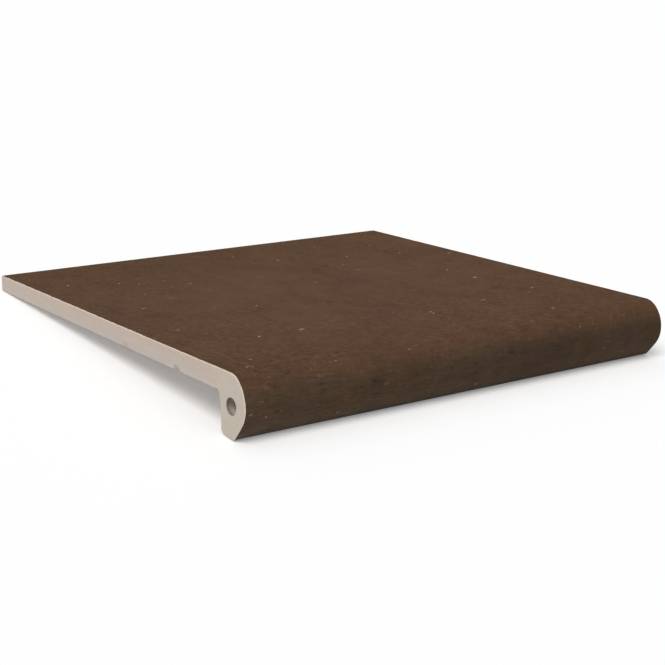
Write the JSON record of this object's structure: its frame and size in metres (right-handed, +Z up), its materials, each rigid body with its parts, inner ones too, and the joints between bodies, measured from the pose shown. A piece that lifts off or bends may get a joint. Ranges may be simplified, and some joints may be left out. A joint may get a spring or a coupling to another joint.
{
  "type": "stair tread tile",
  "caption": "Stoneware stair tread tile with a rounded front nose and a lip that laps over the edge of the step.",
  "frame": {"origin": "centre of the underside of the bounding box, on the floor that the tile lies on", "axes": "+X along the nose, -Y out of the nose, +Z up; the tile lies free, leaning back on its lip and rear edge"},
  "size_m": [0.33, 0.3163, 0.0387],
  "materials": {
    "stoneware": "matte"
  },
  "bodies": {
    "root": {"stair_tread_tile": "stoneware"}
  },
  "joints": []
}
